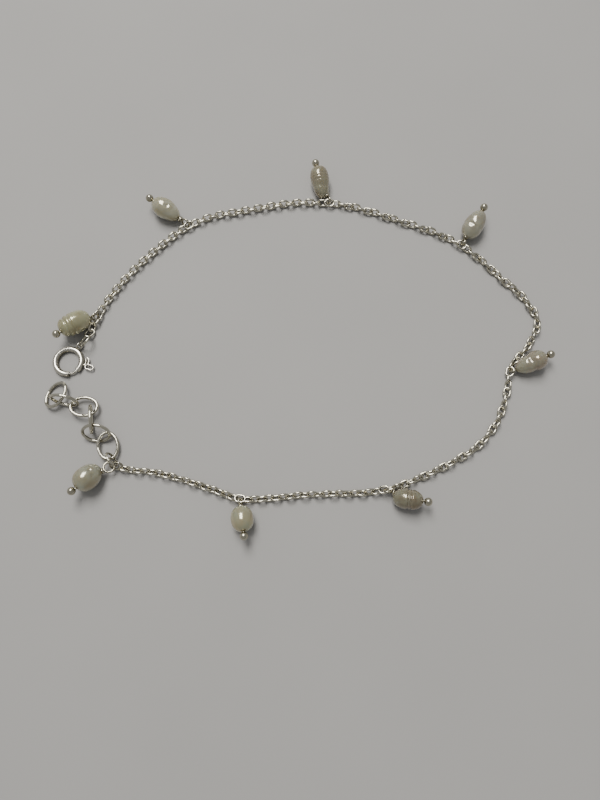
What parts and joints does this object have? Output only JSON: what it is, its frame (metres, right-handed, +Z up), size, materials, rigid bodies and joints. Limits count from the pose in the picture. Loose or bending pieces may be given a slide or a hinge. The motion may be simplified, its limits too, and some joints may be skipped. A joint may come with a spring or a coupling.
{
  "type": "pearl charm bracelet",
  "caption": "Fine silver cable chain bracelet laid open on a table, hung with freshwater pearl drops on wrapped head pins, with a spring ring clasp and an extension chain of oval links.",
  "frame": {"origin": "on the table, under the middle of the bracelet's box", "axes": "+X along the loop's longer way, away from the clasp; +Y towards the far side of the loop; +Z up, away from the table"},
  "size_m": [0.0873, 0.069, 0.0042],
  "materials": {
    "chain_silver": "polished silver, lightly tarnished",
    "pin_silver": "polished silver, darkened in the wraps",
    "extension_silver": "polished silver, lightly tarnished",
    "clasp_silver": "polished silver",
    "nacre": "glossy pearl nacre"
  },
  "bodies": {
    "bracelet": {"chain_1": "chain_silver", "chain_2": "chain_silver", "chain_3": "chain_silver", "chain_4": "chain_silver", "chain_5": "chain_silver", "chain_6": "chain_silver", "chain_7": "chain_silver", "chain_8": "chain_silver", "end_link_clasp": "chain_silver", "end_link_extension": "chain_silver", "drop_link_1": "chain_silver", "drop_link_2": "chain_silver", "drop_link_3": "chain_silver", "drop_link_4": "chain_silver", "drop_link_5": "chain_silver", "drop_link_6": "chain_silver", "drop_link_8": "chain_silver", "head_pin_1": "pin_silver", "head_pin_2": "pin_silver", "head_pin_3": "pin_silver", "head_pin_4": "pin_silver", "head_pin_5": "pin_silver", "head_pin_6": "pin_silver", "head_pin_7": "pin_silver", "head_pin_8": "pin_silver", "pearl_1": "nacre", "pearl_2": "nacre", "pearl_3": "nacre", "pearl_4": "nacre", "pearl_5": "nacre", "pearl_6": "nacre", "pearl_7": "nacre", "pearl_8": "nacre", "jump_ring": "extension_silver", "clasp_jump_ring": "clasp_silver", "extension_link_1": "extension_silver", "extension_link_2": "extension_silver", "extension_link_3": "extension_silver", "extension_link_4": "extension_silver", "extension_link_5": "extension_silver", "extension_link_6": "extension_silver", "clasp_ring": "clasp_silver"},
    "gate": {"clasp_gate": "clasp_silver"}
  },
  "joints": [
    {"name": "gate_hinge", "type": "hinge", "parent": "bracelet", "child": "gate", "pos_m": [-0.0398, -0.0041, 0.0005], "axis": [0, 0, 1], "range_deg": [0, 32], "stiffness_Nm_per_rad": 0.0000005, "springref_deg": -28.65}
  ]
}
